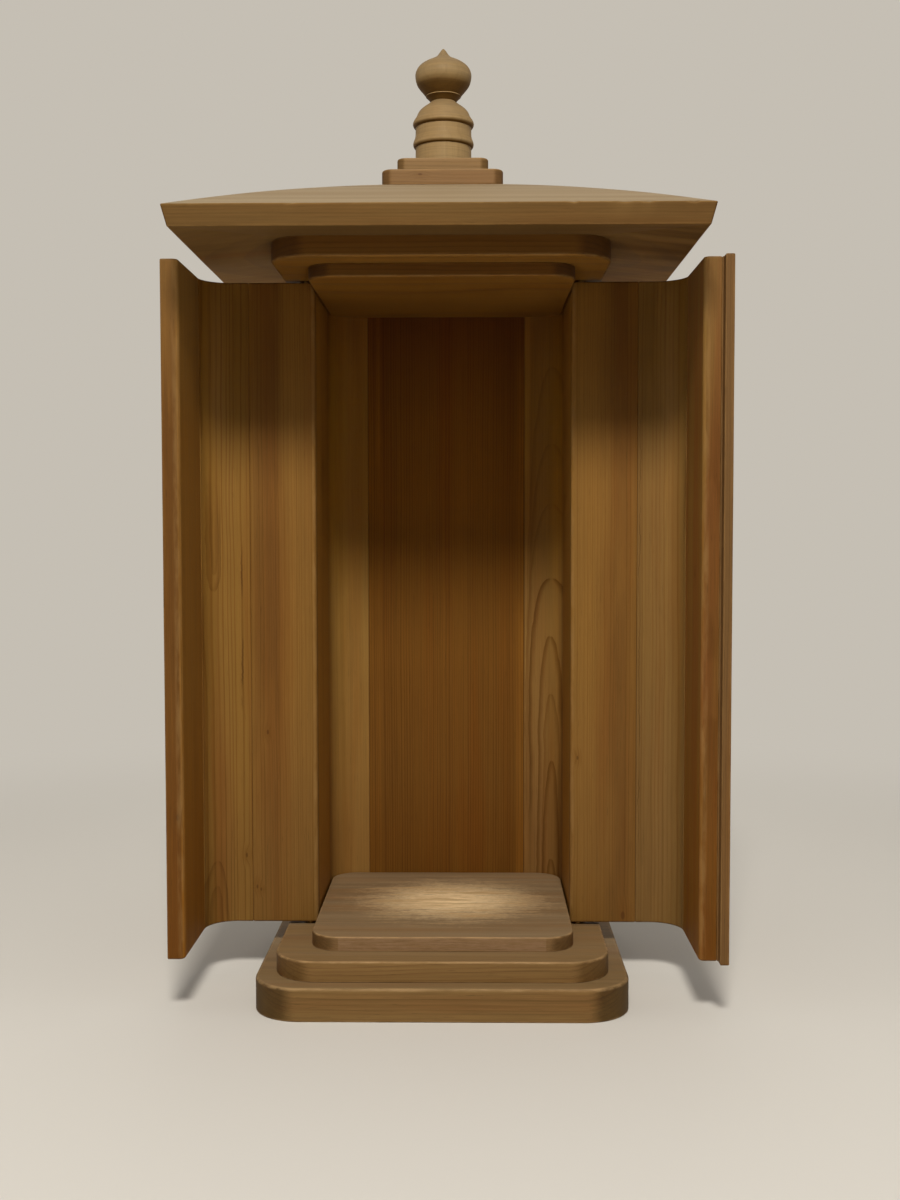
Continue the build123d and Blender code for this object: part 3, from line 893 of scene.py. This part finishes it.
def litSoffit(bench, body, place, axes, middle):
    # painted light: the underside is painted paler beside the moulding, and more so towards the back, a
    # painted sheen and bounced light
    calc, fade, times, plan = bench.calc, bench.fade, bench.times, soffitPlan
    x, y = calc("ABSOLUTE", axes[0]), calc("ABSOLUTE", axes[1])
    inside = fade(calc("MAXIMUM", x, y), *plan["edge"])
    share = times(inside, fade(x, *plan["beside"]))
    share = times(share, fade(axes[1], *plan["backward"]))
    return bench.vector("ADD", body, bench.scale(bench.vector("MULTIPLY", body, plan["tint"]), share))


# the roof is one wood in two finishes: the slopes are painted paler, a painted sheen, and the fascia and
# underside darker, painted shade
roofWood = {
    "roofUnder": dict(
        extra=litSoffit, seed=31, grain="X", pith=(-30, 900), ring=1.9, early=(0.158, 0.089, 0.0285),
        late=(0.1, 0.049, 0.0135), blush=(0.16, 0.08, 0.0235), waver=0.2, lateShare=0.35, gloss=0.06,
        roughness=0.7, comb=0.1, endGrain=(0.8, 0.72, 0.6),
        bandsAndPaintedLight=[(-132, 0.88), (-40, 0.96), (0, 1.0), (60, 0.85), (132, 0.62)],
    ),
    "roofSlopes": dict(
        seed=31, grain="X", pith=(-30, 900), ring=1.9, early=(0.17, 0.1, 0.036), late=(0.11, 0.057, 0.018),
        blush=(0.17, 0.092, 0.03), waver=0.5, gloss=0.25, dustAndPaintedLightShare=0.5, roughness=0.66,
    ),
}


def bowed(start, end, swell, steps):
    # points of a slightly swelling line between two corners, both ends left out
    (r0, z0), (r1, z1) = start, end
    run = math.hypot(r1 - r0, z1 - z0)
    outX, outZ = (z1 - z0) / run, -(r1 - r0) / run
    points = []
    for step in range(1, steps):
        t = step / steps
        rise = 4 * swell * t * (1 - t)
        points.append((r0 + (r1 - r0) * t + outX * rise, z0 + (z1 - z0) * t + outZ * rise, 0))
    return points


def buildRoof(plan, chips):
    eave = (plan["eaveHalf"], plan["eaveTop"])
    ridge = (plan["ridgeHalf"], plan["ridgeTop"])
    corners = [
        (centreFlat, plan["soffitTop"], 0),
        (plan["soffitIn"] - plan["soffitFlat"], plan["soffitTop"], 0),
        (plan["eaveHalf"] - plan["lean"], plan["eaveBottom"], plan["arris"]),
        (*eave, plan["arris"]),
        *bowed(eave, ridge, plan["swell"], plan["slopeSteps"]),
        (*ridge, plan["arris"]),
        (centreFlat, plan["ridgeTop"], 0),
    ]
    rings = []
    outline = easedOutline(corners)
    for half, up, wear in divided(outline, spanCounts(outline, plan["spacing"])):
        hip = min(plan["hip"], plan["leastHip"] * half)
        rings.append(squareRing(half, hip, up, wear, plan["perSide"], plan["hipSteps"]))
    piece = skinRings("roofShell", rings, plan["uneven"], chips)
    for key, settings in roofWood.items():
        piece.data.materials.append(cypressWood(key, settings))
    for face in piece.data.polygons:
        face.material_index = 1 if face.center.z > plan["eaveTop"] * mm else 0
    dress(piece, cabinet, "roof_wood", None, "roof")


# small chips along the eave: centre, reach and push
eaveChips = [
    ((64, -132, 406), (2.6, 1.6, 1.8), (0, 0.7, -0.7)),
    ((88, -132, 406), (3.4, 1.6, 1.8), (0, 0.8, -0.8)),
    ((99, -132, 406), (2.4, 1.5, 1.6), (0, 0.6, -0.6)),
    ((121, -132, 406), (3.0, 1.6, 1.7), (0, 0.7, -0.8)),
    ((-70, -132, 406), (2.6, 1.4, 1.5), (0, 0.5, -0.6)),
    ((132, -60, 406), (1.6, 3.0, 1.6), (-0.7, 0, -0.7)),
    ((-132, 45, 406), (1.6, 3.4, 1.6), (0.7, 0, -0.7)),
]
buildRoof(roofPlan, eaveChips)
report("roof set on")


# turned finial

finialPlan = {
    "seat": 455.0,
    "turns": 128,
    "uneven": 0.04,
    "crease": 28,  # degrees from which an arris stays sharp
    # runs of (radius, height over the seat); a run is smooth and the next one starts at an arris
    "runs": [
        [(0.4, 0.0), (15.75, 0.0)],
        [(15.75, 0.0), (15.7, 4.0), (15.7, 11.2)],
        [
            (15.7, 11.2), (16.5, 11.7), (17.0, 12.8), (17.0, 13.9), (16.6, 15.2), (16.1, 16.4),
            (15.8, 17.8), (15.7, 19.6), (15.7, 22.3),
        ],
        [
            (15.7, 22.3), (16.5, 22.9), (17.1, 24.0), (17.1, 25.2), (16.5, 26.5), (15.6, 27.8),
            (14.9, 29.1), (14.3, 30.5), (13.4, 31.8), (12.3, 32.9), (11.0, 33.9), (9.7, 34.8), (8.5, 35.7),
            (7.5, 36.4), (7.0, 37.0),
        ],
        [(7.0, 37.0), (7.8, 37.9), (8.7, 38.9), (9.4, 39.6)],
        [(9.4, 39.6), (9.85, 39.9), (9.85, 40.25)],
        [
            (9.8, 40.35), (10.6, 41.2), (11.6, 42.4), (13.1, 44.2), (14.6, 46.3), (15.4, 48.5),
            (15.75, 50.6), (15.7, 52.5), (15.0, 54.5), (13.8, 56.2), (12.0, 57.7), (9.8, 59.0), (7.1, 60.3),
            (4.5, 61.7), (3.0, 63.1), (2.0, 64.5), (1.15, 65.7), (0.35, 66.5),
        ],
    ],
}


def smoothRun(points, spacing=0.7):
    # a flowing line through the points
    ends = [Vector(points[0]) * 2 - Vector(points[1]), Vector(points[-1]) * 2 - Vector(points[-2])]
    held = [ends[0]] + [Vector(point) for point in points] + [ends[1]]
    line = []
    for before, start, end, after in zip(held, held[1:], held[2:], held[3:]):
        steps = max(1, round((end - start).length / spacing))
        for step in range(steps):
            t = step / steps
            bend = (end - before) * t
            second = before * 2 - start * 5 + end * 4 - after
            third = start * 3 - before - end * 3 + after
            line.append(start + (bend + second * t**2 + third * t**3) / 2)
    line.append(Vector(points[-1]))
    return line


def turnFinial(plan, material):
    outline = []
    for run in plan["runs"]:
        outline += smoothRun(run) if len(run) > 2 else [Vector(point) for point in run]
    rings = []
    for radius, up in outline:
        ring = []
        for step in range(plan["turns"]):
            angle = 2 * math.pi * step / plan["turns"]
            ring.append((radius * math.cos(angle), radius * math.sin(angle), plan["seat"] + up, 0.0))
        rings.append(ring)
    piece = skinRings("turnedFinial", rings, plan["uneven"])
    piece.data.set_sharp_from_angle(angle=math.radians(plan["crease"]))
    dress(piece, cabinet, "finial_wood", material, "finial")


def latheLines(bench, body, place, axes, middle):
    # the fine rings that a scraper leaves on turned wood
    lines = bench.pattern(place, (0.022, 0.022, 1.1), 3.0, 0.7)
    return bench.scale(body, bench.plus(bench.centred(lines, 0.6), 1.0))


# the finial is painted darker on everything that looks up or sideways and much darker on what looks down:
# painted shade
finialWood = dict(
    extra=latheLines, seed=41, pith=(40, 160), ring=2.4, lateShare=0.2, waver=0.5,
    early=(0.322, 0.212, 0.096), late=(0.22, 0.13, 0.05), blush=(0.305, 0.188, 0.08),
    endGrain=(0.95, 0.92, 0.85), streak=0.06, fibre=0.1, dustAndPaintedLight=(0.185, 0.126, 0.062), dustAndPaintedLightShare=0.85,
    dustAndPaintedLightFrom=-0.05, under=(0.37, 0.27, 0.09),
    # painted shade by height on the finial
    paintedLightByHeight=[
        (455, 0.9, 0.92, 0.9), (480, 0.91, 0.92, 0.9), (488, 0.97, 1.0, 1.05), (497, 0.88, 0.85, 0.72),
        (506, 0.82, 0.85, 0.87),
    ],
)
turnFinial(finialPlan, cypressWood("finialWood", finialWood))
report("finial turned")


# hinge pins keep their solids and get a brass finish

brassPlan = {
    "bright": (0.36, 0.22, 0.075),
    "stained": (0.16, 0.09, 0.035),
    "roughness": (0.3, 0.5),
    "relief": 0.3,
}


def agedBrass(plan):
    bench = Bench(bpy.data.materials.new("agedBrass"))
    place = bench.scale(bench.add("TexCoord").outputs["Object"], 1000.0)
    stains = bench.fade(bench.noise(place, 3.0).outputs["Fac"], 0.35, 0.7)
    rings = bench.pattern(place, (0.4, 0.4, 9.0), 2.0)
    bump = bench.add("Bump", {"Strength": plan["relief"], "Distance": 0.00005, "Height": rings})
    sockets = bench.shader.inputs
    bench.feed(sockets["Base Color"], bench.mix(stains, plan["bright"], plan["stained"]))
    bench.feed(sockets["Roughness"], bench.fade(rings, 0.2, 0.8, *plan["roughness"]))
    bench.feed(sockets["Normal"], bump.outputs["Normal"])
    sockets["Metallic"].default_value = 1.0
    return bench.material


brass = agedBrass(brassPlan)
for node in ("left_hinge_pins", "right_hinge_pins"):
    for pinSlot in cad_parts[node].material_slots:
        pinSlot.material = brass
report("hinge pins finished")


# camera, studio and light

cameraPlan = {
    "place": (0.0156, -0.8012, 0.2516),
    "pitch": -2.87,
    "roll": 0.07,
    "yaw": 0.87,
    "focalPixels": 1399.5,
    "framePixels": 1200,
    "sensor": 36.0,
}


def setCamera(plan):
    data = bpy.data.cameras.new("viewCamera")
    data.sensor_width = plan["sensor"]
    data.lens = plan["sensor"] * plan["focalPixels"] / plan["framePixels"]
    camera = putIn("viewCamera", data)
    camera.location = plan["place"]
    turns = (90 + plan["pitch"], plan["roll"], plan["yaw"])
    camera.rotation_euler = [math.radians(turn) for turn in turns]
    bpy.context.scene.camera = camera


setCamera(cameraPlan)

studioPlan = {
    "floorRadii": (0.05, 0.6, 1.2, 2.4),
    "sweepRadius": 0.7,
    "sweepSteps": 12,
    "turns": 64,
    "paper": (0.66, 0.64, 0.60),  # the floor round the cabinet
    "farPaper": (0.34, 0.325, 0.30),  # its tone for bounced light further out
    "backdrop": (0.56, 0.52, 0.455),  # what the camera sees further out
    "fadeFrom": 0.4,
    "fadeTo": 0.9,
    "farTo": 1.4,
}


def buildStudio(plan):
    # a pale floor that sweeps up at its edge and fades into the backdrop's colour
    sweep, turns = plan["sweepRadius"], plan["turns"]
    outline = [(radius, 0.0) for radius in plan["floorRadii"]]
    edge = plan["floorRadii"][-1]
    for step in range(1, plan["sweepSteps"] + 1):
        angle = math.radians(90 * step / plan["sweepSteps"])
        outline.append((edge + sweep * math.sin(angle), sweep - sweep * math.cos(angle)))
    points = []
    for radius, up in outline:
        for turn in range(turns):
            angle = 2 * math.pi * turn / turns
            points.append((radius * math.cos(angle), radius * math.sin(angle), up))
    studio = smoothSkin("studioFloor", points, [tuple(range(turns)), *facesBetween(len(outline), turns)])
    bench = Bench(bpy.data.materials.new("studioPaper"))
    studio.data.materials.append(bench.material)
    bench.shader.inputs["Roughness"].default_value = 0.8
    bench.shader.inputs["Specular IOR Level"].default_value = 0.2
    coords = bench.add("TexCoord")
    away = bench.length(bench.vector("MULTIPLY", coords.outputs["Object"], (1.0, 1.0, 0.0)))
    outer = bench.fade(away, plan["fadeFrom"], plan["fadeTo"])
    far = bench.fade(away, plan["fadeTo"], plan["farTo"])
    paper = bench.mix(far, plan["paper"], plan["farPaper"])
    bench.feed(bench.shader.inputs["Base Color"], paper)
    glow = bench.add("Emission", {"Color": plan["backdrop"]})
    share = bench.times(outer, seenDirectly(bench))
    both = bench.add("MixShader", {0: share, 1: bench.shader.outputs[0], 2: glow.outputs[0]})
    bench.feed(bench.tree.nodes["Material Output"].inputs["Surface"], both.outputs[0])


def seenDirectly(bench):
    rays = bench.add("LightPath").outputs
    seen = bench.calc("MAXIMUM", rays["Is Camera Ray"], rays["Is Glossy Ray"])
    return bench.calc("MAXIMUM", seen, rays["Is Transmission Ray"])


sideLamp = {
    "aim": (0.0, -0.05, 0.22), "shape": "SQUARE", "size": 1.2, "power": 5.0, "tint": (1.0, 0.96, 0.9),
}
lampPlan = {
    "keyLamp": {
        "place": (0.0, -1.31, 1.475), "aim": (0.0, 0.0, 0.24), "shape": "DISK",
        "size": 0.34, "power": 29.0, "tint": (1.0, 0.95, 0.87),
    },
    "topLamp": {
        "place": (0.0, -0.2, 2.4), "aim": (0.0, 0.0, 0.2), "shape": "DISK",
        "size": 1.8, "power": 8.0, "tint": (1.0, 0.96, 0.9),
    },
    "leftLamp": {"place": (-1.5, -0.6, 0.5), **sideLamp},
    "rightLamp": {"place": (1.5, -0.6, 0.5), **sideLamp},
    "backLamp": {
        "place": (0.0, 1.5, 0.4), "aim": (0.0, 0.0, 0.3), "shape": "SQUARE",
        "size": 1.4, "power": 10.0, "tint": (1.0, 0.94, 0.84), "glossy": False,
    },
}
roomPlan = {"tint": (1.0, 0.97, 0.93), "strength": 0.125}


def hangLamp(name, plan):
    data = bpy.data.lights.new(name, "AREA")
    data.shape = plan["shape"]
    data.size = plan["size"]
    data.energy = plan["power"]
    data.color = plan["tint"]
    lamp = putIn(name, data)
    lamp.location = plan["place"]
    aim = Vector(plan["aim"]) - Vector(plan["place"])
    lamp.rotation_euler = aim.to_track_quat("-Z", "Y").to_euler()
    lamp.visible_camera = False
    lamp.visible_glossy = plan.get("glossy", True)


def lightRoom(plan, backdrop):
    world = bpy.data.worlds.new("roomLight")
    bench = Bench(world)
    room = world.node_tree.nodes["Background"]
    bench.feed(room.inputs["Color"], plan["tint"])
    bench.feed(room.inputs["Strength"], plan["strength"])
    beyond = bench.add("Background", {"Color": backdrop, "Strength": 1.0})
    both = bench.add("MixShader", {0: seenDirectly(bench), 1: room.outputs[0], 2: beyond.outputs[0]})
    bench.feed(world.node_tree.nodes["World Output"].inputs["Surface"], both.outputs[0])
    bpy.context.scene.world = world


buildStudio(studioPlan)
for name, plan in lampPlan.items():
    hangLamp(name, plan)
lightRoom(roomPlan, studioPlan["backdrop"])
bpy.context.scene.view_settings.view_transform = "Standard"
report("camera and studio set")
